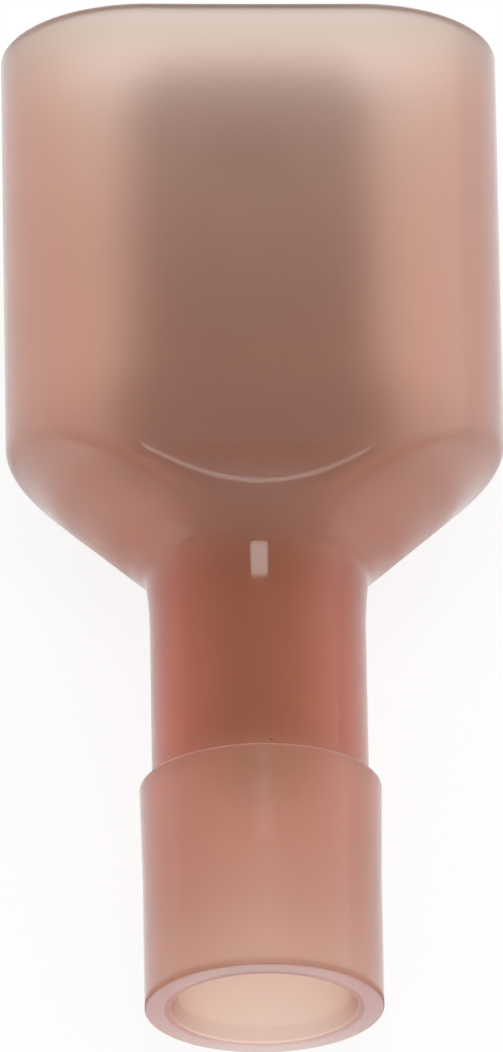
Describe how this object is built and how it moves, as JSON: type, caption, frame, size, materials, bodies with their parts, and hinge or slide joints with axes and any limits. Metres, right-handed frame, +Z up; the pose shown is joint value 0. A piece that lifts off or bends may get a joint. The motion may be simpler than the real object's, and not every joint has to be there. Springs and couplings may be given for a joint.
{
  "type": "fully insulated male tab crimp terminal",
  "caption": "Insulated male quick-disconnect: translucent nylon housing with a wide flat mouth, conical shoulder, round neck and wire entry, around a tinned brass tab with a crimp barrel.",
  "frame": {"origin": "middle of the footprint, on the surface that the broad side of the housing lies on", "axes": "+Y along the terminal's axis from the wire entry to the open mouth, +Z up, square to the tab"},
  "size_m": [0.0126, 0.026, 0.0076],
  "materials": {
    "nylon": "translucent pink nylon, smooth moulded gloss",
    "tinned_brass": "tin-plated brass, dull silver; the barrel shows coppery through the nylon"
  },
  "bodies": {
    "root": {"insulating_housing": "nylon", "tab_terminal": "tinned_brass"}
  },
  "joints": []
}
